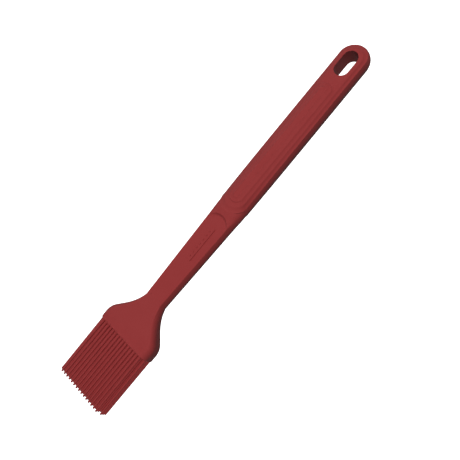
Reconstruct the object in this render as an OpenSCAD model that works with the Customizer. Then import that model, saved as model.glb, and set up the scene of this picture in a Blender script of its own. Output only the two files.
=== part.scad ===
// Pastry brush: a stiff core inside a fluted grip and a paddle head that
// carries five rows of tapered bristles, each row bending at its root.
// The brush lies on its back: +Z is the front face, +Y runs to the hanging end.

/* [Bristles] */
// Free length of a bristle, from the face of the head to its tip
bristle_len = 40.9; // [30:0.5:50]
// Distance between neighbouring bristles in a row
bristle_pitch = 2.5; // [2.4:0.05:3]
// Distance between neighbouring rows
row_pitch = 2.45; // [2.4:0.05:3]
// Diameter of a bristle at its root
bristle_root_d = 1.9; // [1.4:0.05:2]
// Diameter of a bristle just before its rounded tip
bristle_tip_d = 1.26; // [0.8:0.02:1.4]

/* [Head] */
// Width of the head at its widest
head_w = 42.9; // [42:0.1:50]
// Thickness of the head at its open face
head_t = 13.2; // [13:0.1:16]
// Length of the head, from its face to the throat of the neck
head_len = 28.75; // [28:0.05:30]

/* [Neck] */
// Length of the neck, from the throat to the grip
neck_len = 68.55; // [60:0.05:80]
// Width of the neck at the throat
throat_w = 15.14; // [14:0.02:15.5]
// Width of the neck where it meets the grip
collar_w = 19.3; // [18:0.1:19.4]
// Thickness of the neck
neck_t = 7.7; // [7:0.1:8]
// Height of the neck's and grip's middle over the head's middle
grip_lift = 0.9; // [0.4:0.1:1]

/* [Grip] */
// Length of the grip
grip_len = 130.5; // [110:0.5:150]
// Width of the grip
grip_w = 20.4; // [20:0.1:22]
// Thickness of the grip over its crowns
grip_t = 15; // [14.8:0.1:15.6]
// Depth of the hollow of each flute
flute_sag = 0.2; // [0:0.05:0.3]

/* [Hanging slot] */
// Width of the slot
slot_w = 9.76; // [8:0.1:10]
// Length of the slot
slot_len = 18; // [14:0.2:20]
// Distance from the slot to the end of the grip
slot_edge = 7; // [6.6:0.1:9]

/* [Core] */
// Thickness of the core
core_t = 3.2; // [2.6:0.1:3.4]
// Width of the core inside the neck
core_w = 9; // [7:0.1:10]
// Diameter of the holes that lock the core into the rubber
lock_d = 3.6; // [2.5:0.1:4]

/* [Hidden] */

// Places along the brush, with the middle of its length at y = 0
total_len = bristle_len + head_len + neck_len + grip_len;
tip_y = -total_len / 2;
face_y = tip_y + bristle_len;
throat_y = face_y + head_len;
collar_y = throat_y + neck_len;
end_y = collar_y + grip_len;

// Heights: the brush lies on the back of its head and on the back crown of its grip
head_z = head_t / 2;
grip_z = head_z + grip_lift;

// Bristles per row, front row first
row_counts = [15, 17, 17, 17, 15];
root_gap = 0.05;
hinge_y = face_y - bristle_root_d / 2 - root_gap;

// Slot
slot_end_y = end_y - slot_edge - slot_w / 2;
slot_start_y = slot_end_y - (slot_len - slot_w);

// Grip contours from the side edge in to the crown: half width as a share of
// the grip's, first and last y, length of the two rounded ends, height as a
// share of the crown's, rise at the collar, and how far it sinks towards the neck
half_w = grip_w / 2;
crown_z = grip_t / 2;
crown_gap = 7.3;
crown_end_y = end_y - slot_edge - slot_len - crown_gap;
contours = [
    [1.000, collar_y, end_y, 6.8, 9.9, 0.03, 0, 0],
    [0.973, collar_y + 0.1, end_y - 0.2, 7.3, 9.6, 0.28, 1.5, 0.5],
    [0.912, collar_y + 0.3, end_y - 1.5, 8.0, 8.9, 0.547, 2.6, 0.85],
    [0.706, collar_y + 3.8, end_y - 4.2, 6.7, 6.9, 0.713, 1.05, 0.05],
    [0.588, collar_y + 5.6, end_y - 5.3, 5.6, 5.8, 0.768, 0.68, 0],
    [0.529, collar_y + 6.7, crown_end_y + 0.8, 5.1, 4.1, 0.813, 0.5, 0],
    [0.463, collar_y + 7.3, crown_end_y, 4.4, 3.4, 0.883, 0.33, 0],
    [0.181, collar_y + 10.4, crown_end_y - 3.1, 1.8, 1.5, 1, 0, 0]
];
fluted = [0, 0, 1, 0, 0, 0, 1];
sink_y = collar_y + 8;
sink_len = 24;
arc_n = 16;
side_n = 10;
band_n = 3;

// Outline of the head: a flat rim, a round shoulder, a straight flank and a hollow
shoulder_a = 41.5;
shoulder_r = 10.5;
hollow_r = 33.3;
round_y = face_y + 4.45;
flank_y = round_y + shoulder_r * sin(shoulder_a);
hollow_y = flank_y + 4.63;
flank_w = head_w / 2 - shoulder_r * (1 - cos(shoulder_a));
foot_w = flank_w - (hollow_y - flank_y) * tan(shoulder_a);

// Section of the head and neck, and where the one turns into the other
rim_corner = [4.3, 4.6];
rim_flat = 0.2;
neck_corner = 1.2;
neck_power = 1.6;
neck_deep = neck_t / 2;
turn_y = face_y + 5;
turn_len = head_len - 3.75;
side_steps = 6;
top_n = 14;

// The neck's flat facet ends in an arch, behind which the round body rises to the grip
saddle_y = collar_y - 3.05;
saddle_len = 3.3;
saddle_top = 5.15;
saddle_slope = 0.2;
saddle_drop = 0.17;
drop_len = 0.5;
arch_r = 10.4;
arch_y = saddle_y - arch_r;
sweep_len = 1.8;
sweep_rise = 1.6;
body_power = 4;
settle = 0.45;
spread = 0.3;
settle_len = 8;
tail_len = 6;

// Sections of the head and neck: first place and number of steps to the next one
marks = [[face_y, 6], [round_y, 10], [hollow_y, 10], [throat_y, 12], [collar_y - 9, 6],
         [collar_y - 5.5, 9], [collar_y - 2, 5], [collar_y + 1, 5], [collar_y + tail_len, 0]];

// Raised panel on the neck, with a row of plain bars on it
panel_size = [5, 24.4];
panel_rise = 0.22;
panel_y = collar_y - 24.6;
bar_size = [2.4, 1.2];
bar_rise = 0.42;
bar_pitch = 3.1;
bar_count = 7;

// Core: its plate in the head, its eye round the slot and the spacing of its holes
plate_y = face_y + 4;
plate_w = head_w - 11;
plate_len = 5.5;
plate_taper = 13.5;
plate_hole_pitch = 10;
eye_w = slot_w + 7;
eye_clear_w = slot_w + 2.4;
bar_hole_y = throat_y + 14;
bar_hole_pitch = 24;
bar_hole_margin = 16;

silicone = [0.57, 0.21, 0.21];
silicone_light = [0.60, 0.23, 0.22];
nylon = [0.16, 0.16, 0.17];

function mix(a, b, t) = a + (b - a) * t;
function clamp01(t) = min(1, max(0, t));
function ease(t) = let (c = clamp01(t)) c * c * (3 - 2 * c);
function middle(ring) = [for (p = ring) 1] * ring / len(ring);

// Height of a point on a grip contour over the grip's middle
function contour_h(c, y, up) = c[5] * crown_z + up - c[7] * exp(-max(0, y - sink_y) / sink_len);

// A closed contour of the grip at sign s: 1 on the front, -1 on the back
function contour(c, s) =
    let (w = c[0] * half_w, y0 = c[1] + c[3], y1 = c[2] - c[4])
    concat(
        [for (j = [0 : side_n - 1])
            let (y = mix(y0, y1, pow(j / side_n, 1.5)))
            [w, y, grip_z + s * contour_h(c, y, 0)]],
        [for (j = [0 : arc_n - 1])
            let (a = 180 * j / arc_n, y = y1 + c[4] * sin(a))
            [w * cos(a), y, grip_z + s * contour_h(c, y, 0)]],
        [for (j = [0 : side_n - 1])
            let (y = mix(y0, y1, pow(1 - j / side_n, 1.5)))
            [-w, y, grip_z + s * contour_h(c, y, 0)]],
        [for (j = [0 : arc_n - 1])
            let (a = 180 * j / arc_n, y = y0 - c[3] * sin(a))
            [-w * cos(a), y, grip_z + s * contour_h(c, y, c[6] * sin(a))]]
    );

// Contour between two others, sunk by the flute's hollow
function between(a, b, t, hollow) =
    let (c = mix(a, b, t), sag = hollow * flute_sag / crown_z * 4 * t * (1 - t))
    [for (i = [0 : len(c) - 1]) (i == 5) ? c[i] - sag : c[i]];

// All contours from the edge to the crown
function steps(k) = (fluted[k] == 1) ? band_n : 1;
flutes = concat(
    [for (k = [0 : len(contours) - 2], j = [0 : steps(k) - 1])
        between(contours[k], contours[k + 1], j / steps(k), fluted[k])],
    [contours[len(contours) - 1]]
);
flute_n = len(flutes);
grip_rings = concat(
    [for (k = [flute_n - 1 : -1 : 0]) contour(flutes[k], -1)],
    [for (k = [0 : flute_n - 1]) contour(flutes[k], 1)]
);

// Half width of the head and neck at y
function neck_half(y) = mix(throat_w, collar_w, (y - throat_y) / neck_len) / 2;
function hollow_half(y) =
    let (s = sin(shoulder_a) - (y - hollow_y) / hollow_r)
    foot_w - hollow_r * (sqrt(1 - s * s) - cos(shoulder_a));
function head_half(y) =
    (y < round_y) ? head_w / 2
    : (y < flank_y) ? head_w / 2 - shoulder_r + sqrt(pow(shoulder_r, 2) - pow(y - round_y, 2))
    : (y < hollow_y) ? flank_w - (y - flank_y) * tan(shoulder_a)
    : max(hollow_half(y), neck_half(y));
function body_half(y) = (y < throat_y) ? head_half(y) : neck_half(y);
function neck_share(y) = ease((y - turn_y) / turn_len);

// The neck settles a little and its corners spread where it enters the grip
function settled(y) = ease((y - collar_y) / settle_len + 0.5);
function deep_at(y) = neck_deep - settle * settled(y);
function corner_at(y) = neck_corner + spread * settled(y);

// Height of the neck's front over its middle: the round body, cut down to a flat facet
function saddle(x, y) =
    let (rise = saddle_slope * saddle_len * clamp01((y - saddle_y) / saddle_len),
         top = saddle_top + rise - saddle_drop * clamp01((y - saddle_y - saddle_len) / drop_len),
         reach = body_half(y) - corner_at(y),
         body = top - (top - deep_at(y)) * pow(abs(x) / reach, body_power),
         r = norm([x, max(0, y - arch_y)]),
         cut = neck_deep + sweep_rise * pow(max(0, (r - arch_r) / sweep_len + 1), 2))
    min(body, cut);

// Side of the section at y, from the middle plane up to the front face
function side(y) =
    let (w = body_half(y), share = neck_share(y))
    [for (i = [0 : side_steps])
        let (t = i / side_steps,
             a = 90 * max(0, (t - rim_flat) / (1 - rim_flat)),
             head_x = w - rim_corner[0] * (1 - cos(a)),
             head_h = (head_t / 2 - rim_corner[1]) * min(1, t / rim_flat) + rim_corner[1] * sin(a))
        [mix(head_x, w - corner_at(y) * pow(t, neck_power), share),
         mix(head_h, deep_at(y) * t, share)]];

// Front half of the section at y, from +X to -X
function front(y) =
    let (flank = side(y), reach = flank[side_steps][0], h = flank[side_steps][1])
    concat(
        flank,
        [for (j = [1 : top_n - 1])
            let (x = mix(reach, -reach, j / top_n))
            [x, (y > arch_y) ? saddle(x, y) : h]],
        [for (i = [side_steps : -1 : 0]) [-flank[i][0], flank[i][1]]]
    );

// Whole section across the brush at y
function section(y) =
    let (half = front(y), z = mix(head_z, grip_z, neck_share(y)), n = len(half))
    concat(
        [for (p = half) [p[0], y, z + p[1]]],
        [for (i = [n - 2 : -1 : 1]) [half[i][0], y, z - half[i][1]]]
    );
body_rings = [
    for (m = [0 : len(marks) - 2], i = [0 : marks[m][1] - ((m < len(marks) - 2) ? 1 : 0)])
        section(mix(marks[m][0], marks[m + 1][0], i / marks[m][1]))
];

// Skin through a list of closed rings of equal length, closed by a fan at each end
module skin_through(rings) {
    n = len(rings[0]);
    m = len(rings);
    sides = [for (i = [0 : m - 2], j = [0 : n - 1])
        let (k = (j + 1) % n)
        each [[i * n + j, i * n + k, (i + 1) * n + k],
              [i * n + j, (i + 1) * n + k, (i + 1) * n + j]]];
    caps = [for (j = [0 : n - 1])
        let (k = (j + 1) % n, last = (m - 1) * n)
        each [[m * n, k, j], [m * n + 1, last + j, last + k]]];
    hubs = [middle(rings[0]), middle(rings[m - 1])];
    polyhedron(concat([for (ring = rings) each ring], hubs), concat(caps, sides));
}

// Straight stadium between two places on the y axis
module stadium(d, y0, y1) {
    translate([0, y0]) circle(d = d, $fn = 48);
    translate([0, y1]) circle(d = d, $fn = 48);
    translate([-d / 2, y0]) square([d, y1 - y0]);
}

module slot_cut() {
    translate([0, 0, -2])
        linear_extrude(grip_t + 4)
            stadium(slot_w, slot_start_y, slot_end_y);
}

// Plan of the core: a bar with a plate in the head and an eye round the slot
module core_plan() {
    taper_y = plate_y + plate_len;
    neck_y = taper_y + plate_taper;
    difference() {
        union() {
            stadium(core_w, taper_y + core_w / 2, slot_start_y);
            stadium(eye_w, slot_start_y, slot_end_y);
            translate([-plate_w / 2, plate_y]) square([plate_w, plate_len]);
            polygon([[-plate_w / 2, taper_y], [plate_w / 2, taper_y],
                     [core_w / 2, neck_y], [-core_w / 2, neck_y]]);
        }
        stadium(eye_clear_w, slot_start_y, slot_end_y);
        for (i = [-1 : 1])
            translate([i * plate_hole_pitch, taper_y - 1]) circle(d = lock_d, $fn = 32);
        for (y = [bar_hole_y : bar_hole_pitch : slot_start_y - bar_hole_margin])
            translate([0, y]) circle(d = lock_d, $fn = 32);
    }
}

module core_bar() {
    color(nylon)
        translate([0, 0, grip_z - core_t / 2])
            linear_extrude(core_t) core_plan();
}

module grip_sleeve() {
    color(silicone)
        difference() {
            skin_through(grip_rings);
            slot_cut();
            core_bar();
        }
}

// Rectangle of the given size with rounded ends
module pill(size) {
    square([size[0] - size[1], size[1]], center = true);
    for (s = [-1, 1])
        translate([s * (size[0] - size[1]) / 2, 0]) circle(d = size[1], $fn = 16);
}

module neck_panel() {
    facet_z = grip_z + neck_deep;
    translate([-panel_size[0] / 2, panel_y - panel_size[1] / 2, facet_z - 1])
        cube([panel_size[0], panel_size[1], 1 + panel_rise]);
    for (i = [0 : bar_count - 1])
        translate([0, panel_y + (i - (bar_count - 1) / 2) * bar_pitch, facet_z - 1])
            linear_extrude(1 + bar_rise) pill(bar_size);
}

// Room for the grip's rounded start between the two horns at the end of the neck
module grip_seat() {
    seat_len = contours[0][3];
    translate([0, 0, -1])
        linear_extrude(grip_t + 2)
            polygon(concat(
                [[half_w, end_y], [-half_w, end_y]],
                [for (a = [0 : 10 : 180])
                    [-half_w * cos(a), collar_y + seat_len * (1 - sin(a))]]
            ));
}

module brush_head() {
    color(silicone) {
        difference() {
            skin_through(body_rings);
            grip_seat();
            core_bar();
        }
        neck_panel();
    }
}

// One bristle pointing along -Y from the origin
module bristle() {
    free_len = hinge_y - tip_y - bristle_tip_d / 2;
    rotate([90, 0, 0]) {
        cylinder(h = free_len, d1 = bristle_root_d, d2 = bristle_tip_d, $fn = 20);
        sphere(d = bristle_root_d, $fn = 20);
        translate([0, 0, free_len]) sphere(d = bristle_tip_d, $fn = 20);
    }
}

module bristle_row(k) {
    count = row_counts[k - 1];
    row_z = head_z + ((len(row_counts) + 1) / 2 - k) * row_pitch;
    color(silicone_light)
        for (i = [0 : count - 1])
            translate([(i - (count - 1) / 2) * bristle_pitch, hinge_y, row_z])
                bristle();
}

core_bar();
grip_sleeve();
brush_head();
bristle_row(1);  // bristle_row_1
bristle_row(2);  // bristle_row_2
bristle_row(3);  // bristle_row_3
bristle_row(4);  // bristle_row_4
bristle_row(5);  // bristle_row_5
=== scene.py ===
"""A silicone pastry brush lying on a pale floor: a fluted grip with a hanging slot, a paddle head
and five rows of tapered bristles. Sizes are in millimetres until a mesh is made."""

import math

import bmesh
import bpy
from mathutils import Matrix, Vector
from mathutils.geometry import delaunay_2d_cdt


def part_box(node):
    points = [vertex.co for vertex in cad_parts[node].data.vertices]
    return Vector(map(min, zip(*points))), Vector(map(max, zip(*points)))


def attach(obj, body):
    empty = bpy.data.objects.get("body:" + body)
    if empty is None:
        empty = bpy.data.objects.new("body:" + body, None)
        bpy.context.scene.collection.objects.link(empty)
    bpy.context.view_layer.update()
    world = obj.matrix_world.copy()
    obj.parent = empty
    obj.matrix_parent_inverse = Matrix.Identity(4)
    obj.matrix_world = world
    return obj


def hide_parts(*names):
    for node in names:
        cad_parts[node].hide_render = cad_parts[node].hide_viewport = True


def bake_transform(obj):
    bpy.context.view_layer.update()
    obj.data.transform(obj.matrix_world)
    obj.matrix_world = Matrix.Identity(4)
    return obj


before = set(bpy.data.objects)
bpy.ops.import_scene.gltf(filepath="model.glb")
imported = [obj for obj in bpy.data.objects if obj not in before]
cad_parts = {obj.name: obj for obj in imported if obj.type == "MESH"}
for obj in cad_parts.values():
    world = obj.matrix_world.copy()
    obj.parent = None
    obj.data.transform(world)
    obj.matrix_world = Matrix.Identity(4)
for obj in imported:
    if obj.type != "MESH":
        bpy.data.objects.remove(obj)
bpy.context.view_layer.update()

MM = 0.001


# ---------------------------------------------------------------- places, from the CAD frame

def corners_mm(node):
    """Lowest and highest corner of a CAD node, in millimetres."""
    low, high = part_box(node)
    return low / MM, high / MM


head_low, head_high = corners_mm("brush_head")
grip_low, grip_high = corners_mm("grip_sleeve")
row_3_low, row_3_high = corners_mm("bristle_row_3")

FACE_Y = head_low.y
COLLAR_Y = grip_low.y
END_Y = grip_high.y
TIP_Y = row_3_low.y
HEAD_Z = (head_low.z + head_high.z) / 2
GRIP_Z = (grip_low.z + grip_high.z) / 2
HEAD_HALF = (head_high.x - head_low.x) / 2
HEAD_DEEP = (head_high.z - head_low.z) / 2
CROWN = (grip_high.z - grip_low.z) / 2
HEAD_LEN = 28.75
THROAT_Y = FACE_Y + HEAD_LEN

ROW_COUNTS = {1: 15, 2: 17, 3: 17, 4: 17, 5: 15}
PITCH = 2.5
ROOT_R = 0.95
TIP_R = 0.63

SLOT_HALF = 4.88
SLOT_EDGE = 7
SLOT_RUN = 8.24
SLOT_END_Y = END_Y - SLOT_EDGE - SLOT_HALF
SLOT_START_Y = SLOT_END_Y - SLOT_RUN

NECK_DEEP = 3.85
NECK_CORNER = 1.2


def mix(a, b, t):
    return a + (b - a) * t


def ease(t):
    t = min(1.0, max(0.0, t))
    return t * t * (3 - 2 * t)


# ---------------------------------------------------------------- meshes

def new_object(name, points, faces, smooth_angle=None):
    """A mesh object from points in millimetres."""
    mesh = bpy.data.meshes.new(name)
    mesh.from_pydata([Vector(p) * MM for p in points], [], faces)
    work = bmesh.new()
    work.from_mesh(mesh)
    bmesh.ops.remove_doubles(work, verts=work.verts, dist=2e-6)
    bmesh.ops.recalc_face_normals(work, faces=work.faces)
    work.to_mesh(mesh)
    work.free()
    piece = bpy.data.objects.new(name, mesh)
    bpy.context.scene.collection.objects.link(piece)
    mesh.shade_smooth()
    if smooth_angle is not None:
        mesh.set_sharp_from_angle(angle=math.radians(smooth_angle))
    return piece


def tube_faces(ring_count, ring_len, start=0):
    faces = []
    for i in range(ring_count - 1):
        for j in range(ring_len):
            k = (j + 1) % ring_len
            a = start + i * ring_len
            b = a + ring_len
            faces.append((a + j, a + k, b + k, b + j))
    return faces


# ---------------------------------------------------------------- grip

SIDE_N = 72
ARC_N = 48
RING_LEN = 2 * (SIDE_N + ARC_N)
FLUTE_N = 7
FLUTE_SAG = 0.22
CROWN_SAG = 0.14
STEP_N = 3
STEP_SAG = 0.02
RISER_POWER = 2.6
SINK_Y = COLLAR_Y + 8
SINK_LEN = 24

# Contours of the grip from its side edge in to the crown: half width, first and last y, lengths
# of the two rounded ends, height over the middle, rise at the neck, sinking towards the neck
EDGE = (10.20, COLLAR_Y + 0.05, END_Y, 6.8, 9.9, 0.0, 0.0, 0.0)
WALL_3 = (10.13, COLLAR_Y + 0.08, END_Y - 0.05, 7.0, 9.8, 1.05, 0.9, 0.25)
WALL_2 = (9.92, COLLAR_Y + 0.12, END_Y - 0.25, 7.3, 9.6, 2.10, 1.5, 0.50)
WALL_1 = (9.62, COLLAR_Y + 0.18, END_Y - 0.65, 7.7, 9.3, 3.10, 1.9, 0.70)
RIDGE_4 = (9.30, COLLAR_Y + 0.25, END_Y - 1.5, 8.0, 8.9, 4.10, 2.60, 0.85)
RIDGE_3 = (7.20, COLLAR_Y + 3.75, END_Y - 4.2, 6.7, 6.9, 5.35, 1.05, 0.05)
SHELF = (6.00, COLLAR_Y + 5.6, END_Y - 5.3, 5.6, 5.8, 5.76, 0.68, 0.0)
FOOT_2 = (5.40, COLLAR_Y + 6.7, END_Y - 32.2, 5.1, 4.1, 6.10, 0.50, 0.0)
RIDGE_2 = (4.72, COLLAR_Y + 7.25, END_Y - 33.0, 4.4, 3.4, 6.62, 0.33, 0.0)
RIDGE_1 = (1.85, COLLAR_Y + 10.35, END_Y - 36.1, 1.8, 1.5, CROWN, 0.0, 0.0)
LIP = (SLOT_HALF, SLOT_START_Y - SLOT_HALF, SLOT_END_Y + SLOT_HALF, SLOT_HALF, SLOT_HALF, 5.9, 0, 0)


def contour(ring, side):
    """Points of one contour; side is 1 on the front and -1 on the back."""
    w, first, last, first_len, last_len, height, rise, sink = ring
    y0 = first + first_len
    y1 = last - last_len
    points = []

    def add(x, y, up=0.0):
        up -= sink * math.exp(-max(0.0, y - SINK_Y) / SINK_LEN)
        points.append((x, y, GRIP_Z + side * (height + up)))

    for j in range(SIDE_N):
        add(w, mix(y0, y1, j / SIDE_N))
    for j in range(ARC_N):
        a = math.pi * j / ARC_N
        add(w * math.cos(a), y1 + last_len * math.sin(a))
    for j in range(SIDE_N):
        add(-w, mix(y1, y0, j / SIDE_N))
    for j in range(ARC_N):
        a = math.pi * j / ARC_N
        add(-w * math.cos(a), y0 - first_len * math.sin(a), rise * math.sin(a))
    return points


def flute(a, b, sag=FLUTE_SAG, n=FLUTE_N):
    """Contours from a up to, but not including, b, hollowed between the two.

    At the neck end the climb comes late, which leaves a flat band and a short riser."""
    rings = []
    climb = b[5] + b[6] - b[7] - a[5] - a[6] + a[7]
    for i in range(n):
        t = i / n
        ring = [mix(p, q, t) for p, q in zip(a, b)]
        hollow = sag * 4 * t * (1 - t)
        ring[5] -= hollow
        ring[6] -= max(0.0, climb * (t - t ** RISER_POWER) - hollow)
        rings.append(tuple(ring))
    return rings


def inside(point, ring):
    """Whether a point in plan lies within a contour."""
    w, first, last, first_len, last_len = ring[:5]
    y0 = first + first_len
    y1 = last - last_len
    reach = first_len if point.y < y0 else last_len
    return math.hypot(point.x / w, (point.y - min(max(point.y, y0), y1)) / reach) < 0.999


def plateau(points, starts):
    """Faces between the shelf, the crown's foot and the slot, whose contours begin at starts."""
    index = [start + j for start in starts for j in range(RING_LEN)]
    plan = [Vector(points[i][:2]) for i in index]
    edges = [(k * RING_LEN + j, k * RING_LEN + (j + 1) % RING_LEN)
             for k in range(len(starts)) for j in range(RING_LEN)]
    verts, _, tris, _, _, _ = delaunay_2d_cdt(plan, edges, [], 0, 1e-6)
    faces = []
    for tri in tris:
        c = sum((verts[i] for i in tri), Vector((0, 0))) / len(tri)
        if inside(c, SHELF) and not inside(c, FOOT_2) and not inside(c, LIP):
            faces.append(tuple(index[i] for i in tri))
    return faces


def make_grip():
    """The grip: two mirrored halves, each from the side edge in to the crown, and a slot."""
    outer = [EDGE, WALL_3, WALL_2, WALL_1] + flute(RIDGE_4, RIDGE_3)
    outer += flute(RIDGE_3, SHELF, STEP_SAG, STEP_N) + [SHELF]
    inner = flute(FOOT_2, RIDGE_2, STEP_SAG, STEP_N) + flute(RIDGE_2, RIDGE_1, CROWN_SAG)
    inner += [RIDGE_1]
    points = []
    faces = []

    def add_rings(rings, side):
        start = len(points)
        for ring in rings:
            points.extend(contour(ring, side))
        faces.extend(tube_faces(len(rings), RING_LEN, start))
        return start

    lips = []
    for side in (1, -1):
        add_rings(outer, side)
        shelf = len(points) - RING_LEN
        foot = add_rings(inner, side)
        crown = len(points) - RING_LEN
        lip = add_rings([LIP], side)
        lips.append(lip)
        faces.append(tuple(range(crown, crown + RING_LEN)))
        faces.extend(plateau(points, (shelf, foot, lip)))
    a, b = lips
    for j in range(RING_LEN):
        k = (j + 1) % RING_LEN
        faces.append((a + j, a + k, b + k, b + j))
    return new_object("grip", points, faces, 12)


# ---------------------------------------------------------------- head and neck

SIDE_STEPS = 10
TOP_N = 72

# Outline of the head, from its face to the throat
SHOULDER = math.radians(41.5)
ROUND_R = 10.5
HOLLOW_R = 33.3
RIM_LEN = 4.45
RIM_TAPER = 0.1
FLANK_LEN = 4.63
RIM = HEAD_HALF - 0.03
ROUND_Y = FACE_Y + RIM_LEN
FLANK_Y = ROUND_Y + ROUND_R * math.sin(SHOULDER)
HOLLOW_Y = FLANK_Y + FLANK_LEN
FLANK = RIM - ROUND_R * (1 - math.cos(SHOULDER))
FOOT = FLANK - FLANK_LEN * math.tan(SHOULDER)
LIP_R = 0.45

# Outline of the neck: it widens evenly, bows a little and swells where it meets the grip
THROAT_HALF = 7.57
NECK_SPAN = 72
NECK_GAIN = 2.27
NECK_BOW = 0.1
NECK_SWELL = 0.3
TURN_Y = COLLAR_Y - 8
TURN_LEN = 10

# Sections: a round rim, a neck with flat facets, and a rounder end where the facets stop
RIM_CORNER = (4.3, 4.6)
RIM_FLAT = 0.2
BLEND_Y = FACE_Y + 5
BLEND_LEN = 25
SQUARE_POWER = 1.6
OVAL_POWER = 2.0
OVAL_CORNER = 0.95
OVAL = 0.7

# The arch that ends the facet, and the body that rises behind it
SADDLE_Y = COLLAR_Y - 3.05
SADDLE_TOP = 5.15
SLOPE_BEFORE = 0.02
SLOPE_AFTER = 0.20
SADDLE_LEN = 3.3
SADDLE_DROP = 0.17
DROP_LEN = 0.4
ARCH_R = 10.4
ARCH_Y = SADDLE_Y - ARCH_R
SWEEP_LEN = 1.8
SWEEP_RISE = 1.6

# Raised panel on the neck and the row of bars on it: sizes along X and Y, heights over the facet
PANEL = (5.0, 24.4)
PANEL_RISE = 0.5
PANEL_Y = COLLAR_Y - 24.6
BAR = (2.4, 1.2)
BAR_X = -0.4
BAR_RISE = 0.9
BAR_PITCH = 3.1
BAR_COUNT = 7
PAD_CORNER = 0.5
PAD_BEVEL = 0.03


def neck_half(y):
    t = min(1.15, max(0.0, (y - THROAT_Y) / NECK_SPAN))
    return THROAT_HALF + (NECK_GAIN - NECK_BOW * t) * t + NECK_SWELL * ease((y - TURN_Y) / TURN_LEN)


def half_at(y):
    """Half width: a flat rim, a round shoulder, a straight flank, a hollow, then the neck."""
    if y < ROUND_Y:
        return RIM - RIM_TAPER * (ROUND_Y - y) / RIM_LEN
    if y < FLANK_Y:
        return RIM - ROUND_R + math.sqrt(ROUND_R ** 2 - (y - ROUND_Y) ** 2)
    if y < HOLLOW_Y:
        return FLANK - (y - FLANK_Y) * math.tan(SHOULDER)
    if y < THROAT_Y + 1:
        s = math.sin(SHOULDER) - (y - HOLLOW_Y) / HOLLOW_R
        hollow = FOOT - HOLLOW_R * (math.sqrt(1 - s * s) - math.cos(SHOULDER))
        return max(hollow, neck_half(y))
    return neck_half(y)


def neck_share(y):
    """How far the section has turned from the head's to the neck's, from 0 to 1."""
    return ease((y - BLEND_Y) / BLEND_LEN)


def oval_share(y):
    """How far the section of the neck has turned from square to oval."""
    return OVAL * ease((y - TURN_Y) / TURN_LEN)


def saddle(x, y, half):
    """Height of the neck over its middle: the round body, cut down to a flat facet."""
    past = y - SADDLE_Y
    climb = SLOPE_BEFORE * min(0.0, past) + SLOPE_AFTER * min(SADDLE_LEN, max(0.0, past))
    top = SADDLE_TOP + climb - SADDLE_DROP * ease((past - SADDLE_LEN) / DROP_LEN)
    square = top - (top - NECK_DEEP) * (abs(x) / (half - NECK_CORNER)) ** 4
    oval = top * math.sqrt(max(0.0, 1 - (abs(x) / half) ** 3))
    body = mix(square, oval, oval_share(y))
    r = math.hypot(x, max(0.0, y - ARCH_Y))
    cut = NECK_DEEP + SWEEP_RISE * (max(0.0, r - ARCH_R + SWEEP_LEN) / SWEEP_LEN) ** 2
    return min(body, cut)


def half_section(y):
    """Front half of the section at y as (x, height over the middle), from +X to -X."""
    share = neck_share(y)
    half = half_at(y)
    oval = oval_share(y)
    corner = mix(NECK_CORNER, OVAL_CORNER, oval)
    deep = NECK_DEEP if y <= ARCH_Y else saddle(half - corner, y, half)
    side = []
    for i in range(SIDE_STEPS + 1):
        t = i / SIDE_STEPS
        a = math.pi / 2 * max(0.0, (t - RIM_FLAT) / (1 - RIM_FLAT))
        head_x = half - RIM_CORNER[0] * (1 - math.cos(a))
        head_z = (HEAD_DEEP - RIM_CORNER[1]) * min(1.0, t / RIM_FLAT) + RIM_CORNER[1] * math.sin(a)
        neck_x = half - corner * t ** mix(SQUARE_POWER, OVAL_POWER, oval)
        side.append((mix(head_x, neck_x, share), mix(head_z, deep * t, share)))
    reach = side[-1][0]
    points = list(side)
    for j in range(1, TOP_N):
        x = mix(reach, -reach, j / TOP_N)
        points.append((x, saddle(x, y, half) if y > ARCH_Y else side[-1][1]))
    points += [(-x, z) for x, z in reversed(side)]
    return points


def body_section(y, inset=0.0):
    """Whole section across the brush at y, drawn in by inset."""
    z = mix(HEAD_Z, GRIP_Z, neck_share(y))
    half = half_section(y)
    shrink = 1 - inset / half[0][0]
    squeeze = 1 - inset / HEAD_DEEP
    front = [(x * shrink, y, z + h * squeeze) for x, h in half]
    back = [(x * shrink, y, z - h * squeeze) for x, h in reversed(half[1:-1])]
    return front + back


def stations():
    """Places of the sections, closest together where the facet ends; each mark is a place and
    the number of steps to the next."""
    marks = [(FACE_Y + LIP_R, 40), (THROAT_Y - 14, 40), (THROAT_Y - 1, 16), (THROAT_Y + 1, 30),
             (COLLAR_Y - 9, 30), (COLLAR_Y - 5.5, 50), (COLLAR_Y - 2, 12), (COLLAR_Y + 0.1, 8),
             (COLLAR_Y + 1, 20), (COLLAR_Y + 12, 0)]
    places = []
    for (y, n), (after, _) in zip(marks, marks[1:]):
        places += [mix(y, after, i / n) for i in range(n)]
    return places + [marks[-1][0]]


def add_pad(points, faces, x, y, size, base, top):
    """A flat block with rounded corners in plan and a fine bevel round its top."""
    width, length = size
    start = len(points)
    for inset, height in ((0, base), (0, top - PAD_BEVEL), (PAD_BEVEL, top)):
        r = PAD_CORNER - inset
        for q in range(4):
            sx = 1 if q in (0, 3) else -1
            sy = 1 if q < 2 else -1
            for j in range(6):
                a = math.pi / 2 * (q + j / 5)
                points.append((x + sx * (width / 2 - PAD_CORNER) + r * math.cos(a),
                               y + sy * (length / 2 - PAD_CORNER) + r * math.sin(a), height))
    faces.extend(tube_faces(3, 24, start))
    faces.append(tuple(range(start, start + 24)))
    faces.append(tuple(range(start + 48, start + 72)))


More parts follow.
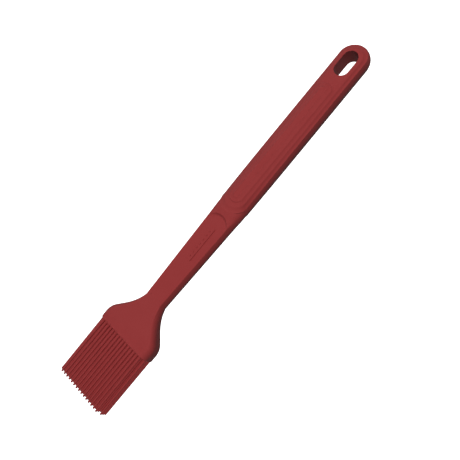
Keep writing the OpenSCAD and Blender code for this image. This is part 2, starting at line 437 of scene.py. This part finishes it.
def add_panel(points, faces):
    """A thin raised panel on the neck with a row of plain rounded bars on it."""
    facet = GRIP_Z + NECK_DEEP
    add_pad(points, faces, 0, PANEL_Y, PANEL, facet - 0.3, facet + PANEL_RISE)
    for i in range(BAR_COUNT):
        y = PANEL_Y + (i - (BAR_COUNT - 1) / 2) * BAR_PITCH
        add_pad(points, faces, BAR_X, y, BAR, facet - 0.1, facet + BAR_RISE)


def make_head():
    """The head and neck in one skin, with a small round lip along the open face."""
    rings = []
    for j in range(5):
        a = math.pi / 2 * j / 4
        rings.append(body_section(FACE_Y + LIP_R * (1 - math.sin(a)), LIP_R * (1 - math.cos(a))))
    rings.reverse()
    rings += [body_section(y) for y in stations()]
    points = [p for ring in rings for p in ring]
    n = len(rings[0])
    faces = tube_faces(len(rings), n)
    faces.append(tuple(range(n)))
    faces.append(tuple(range(len(points) - n, len(points))))
    add_panel(points, faces)
    return new_object("head", points, faces, 28)


# ---------------------------------------------------------------- bristles

BRISTLE_SIDES = 14
BRISTLE_RINGS = 26


def bristle_profile():
    """(distance from the face of the head, radius) from root to tip."""
    length = FACE_Y - TIP_Y
    profile = [(-0.6, ROOT_R), (0.0, ROOT_R + 0.12), (0.15, ROOT_R + 0.04), (0.4, ROOT_R)]
    last = length - TIP_R
    for i in range(1, BRISTLE_RINGS + 1):
        t = i / BRISTLE_RINGS
        profile.append((mix(0.4, last, t), mix(ROOT_R, TIP_R, t)))
    for i in range(1, 5):
        a = math.pi / 2 * i / 5
        profile.append((last + TIP_R * math.sin(a), TIP_R * math.cos(a)))
    return profile


def make_row(k):
    count = ROW_COUNTS[k]
    low, high = corners_mm("bristle_row_%d" % k)
    z = (low.z + high.z) / 2
    profile = bristle_profile()
    points = []
    faces = []
    for i in range(count):
        x = (i - (count - 1) / 2) * PITCH
        start = len(points)
        for s, r in profile:
            for j in range(BRISTLE_SIDES):
                a = 2 * math.pi * j / BRISTLE_SIDES
                points.append((x + r * math.cos(a), FACE_Y - s, z + r * math.sin(a)))
        faces.extend(tube_faces(len(profile), BRISTLE_SIDES, start))
        tip = len(points)
        points.append((x, TIP_Y, z))
        last = tip - BRISTLE_SIDES
        for j in range(BRISTLE_SIDES):
            faces.append((last + j, last + (j + 1) % BRISTLE_SIDES, tip))
        faces.append(tuple(start + j for j in range(BRISTLE_SIDES)))
    piece = new_object("bristles_%d" % k, points, faces)
    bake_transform(piece)
    return piece


# ---------------------------------------------------------------- materials

def new_material(name):
    """A material with nodes, and its shader."""
    material = bpy.data.materials.new(name)
    material.use_nodes = True
    return material, material.node_tree.nodes["Principled BSDF"]


def moulded_material(name, light, dark, roughness=0.5):
    """Moulded silicone or nylon: faint cloudy colour, a fine matt skin and soft sheen."""
    material, shader = new_material(name)
    nodes = material.node_tree.nodes
    links = material.node_tree.links
    where = nodes.new("ShaderNodeTexCoord")
    cloud = nodes.new("ShaderNodeTexNoise")
    cloud.inputs["Scale"].default_value = 90
    cloud.inputs["Detail"].default_value = 4
    links.new(where.outputs["Object"], cloud.inputs["Vector"])
    colour = nodes.new("ShaderNodeMix")
    colour.data_type = "RGBA"
    colour.inputs["A"].default_value = (*light, 1)
    colour.inputs["B"].default_value = (*dark, 1)
    links.new(cloud.outputs["Fac"], colour.inputs["Factor"])
    links.new(colour.outputs["Result"], shader.inputs["Base Color"])
    grain = nodes.new("ShaderNodeTexNoise")
    grain.inputs["Scale"].default_value = 2600
    grain.inputs["Detail"].default_value = 3
    links.new(where.outputs["Object"], grain.inputs["Vector"])
    rough = nodes.new("ShaderNodeMapRange")
    rough.inputs["To Min"].default_value = roughness - 0.06
    rough.inputs["To Max"].default_value = roughness + 0.08
    links.new(grain.outputs["Fac"], rough.inputs["Value"])
    links.new(rough.outputs["Result"], shader.inputs["Roughness"])
    bump = nodes.new("ShaderNodeBump")
    bump.inputs["Strength"].default_value = 0.08
    bump.inputs["Distance"].default_value = 0.0001
    links.new(grain.outputs["Fac"], bump.inputs["Height"])
    links.new(bump.outputs["Normal"], shader.inputs["Normal"])
    shader.inputs["Specular IOR Level"].default_value = 0.35
    return material


# ---------------------------------------------------------------- build

red = moulded_material("silicone_red", (0.300, 0.040, 0.040), (0.280, 0.034, 0.034))
bristle_red = moulded_material("silicone_bristle_red", (0.300, 0.038, 0.038),
                               (0.275, 0.033, 0.033))
core_black = moulded_material("core_nylon", (0.026, 0.026, 0.028), (0.014, 0.014, 0.016), 0.42)

grip = make_grip()
grip.data.materials.append(red)
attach(grip, "root")
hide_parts("grip_sleeve")

head = make_head()
head.data.materials.append(red)
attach(head, "root")
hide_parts("brush_head")

for k in ROW_COUNTS:
    row = make_row(k)
    row.data.materials.append(bristle_red)
    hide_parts("bristle_row_%d" % k)

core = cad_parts["core_bar"]
core.data.materials.clear()
core.data.materials.append(core_black)


# ---------------------------------------------------------------- stage, light and camera

def make_floor():
    """A plain pale sheet that is lit evenly and throws no colour back on the brush."""
    mesh = bpy.data.meshes.new("floor")
    size = 10.0
    mesh.from_pydata([(-size, -size, 0), (size, -size, 0), (size, size, 0), (-size, size, 0)], [],
                     [(0, 1, 2, 3)])
    floor = bpy.data.objects.new("floor", mesh)
    bpy.context.scene.collection.objects.link(floor)
    material, shader = new_material("floor_paper")
    shader.inputs["Base Color"].default_value = (0.8, 0.8, 0.8, 1)
    shader.inputs["Roughness"].default_value = 0.9
    shader.inputs["Emission Color"].default_value = (1, 1, 1, 1)
    shader.inputs["Emission Strength"].default_value = 1.0
    mesh.materials.append(material)
    floor.visible_diffuse = False
    floor.visible_glossy = False


def add_area(name, place, power):
    """A soft square light aimed at the brush."""
    data = bpy.data.lights.new(name, "AREA")
    data.shape = "SQUARE"
    data.size = 0.9
    data.energy = power
    light = bpy.data.objects.new(name, data)
    bpy.context.scene.collection.objects.link(light)
    light.location = place
    light.visible_glossy = False
    data.use_shadow = False
    light.rotation_euler = (-Vector(place)).to_track_quat("-Z", "Y").to_euler()


def add_camera():
    """Perspective camera over the right side; the brush runs up to the right in its frame."""
    place = Vector((0.1580, -0.0090, 0.3040))
    aim = Vector((0.0081, -0.0031, 0.0076))
    lean = math.radians(50.58)
    forward = (aim - place).normalized()
    along = Vector((0, 1, 0))
    along = (along - along.dot(forward) * forward).normalized()
    across = forward.cross(along)
    right = math.cos(lean) * along + math.sin(lean) * across
    up = math.sin(lean) * along - math.cos(lean) * across
    data = bpy.data.cameras.new("camera")
    data.angle = math.radians(45)
    data.clip_start = 0.01
    camera = bpy.data.objects.new("camera", data)
    bpy.context.scene.collection.objects.link(camera)
    turn = Matrix((right, up, -forward)).transposed().to_4x4()
    camera.matrix_world = Matrix.Translation(place) @ turn
    bpy.context.scene.camera = camera


def add_world(fill, mirror):
    """A plain white surround: fill lights the surfaces, and mirror is what is seen of it."""
    world = bpy.data.worlds.new("studio")
    world.use_nodes = True
    nodes = world.node_tree.nodes
    path = nodes.new("ShaderNodeLightPath")
    level = nodes.new("ShaderNodeMapRange")
    level.inputs["To Min"].default_value = mirror
    level.inputs["To Max"].default_value = fill
    world.node_tree.links.new(path.outputs["Is Diffuse Ray"], level.inputs["Value"])
    world.node_tree.links.new(level.outputs["Result"], nodes["Background"].inputs["Strength"])
    nodes["Background"].inputs["Color"].default_value = (1, 1, 1, 1)
    bpy.context.scene.world = world


make_floor()
add_area("top", (0.27, 0.12, 1.57), 24.0)
add_area("left", (-1.3, 0.35, 0.9), 3.0)
add_world(0.02, 0.32)
bpy.context.scene.view_settings.view_transform = "Standard"
add_camera()
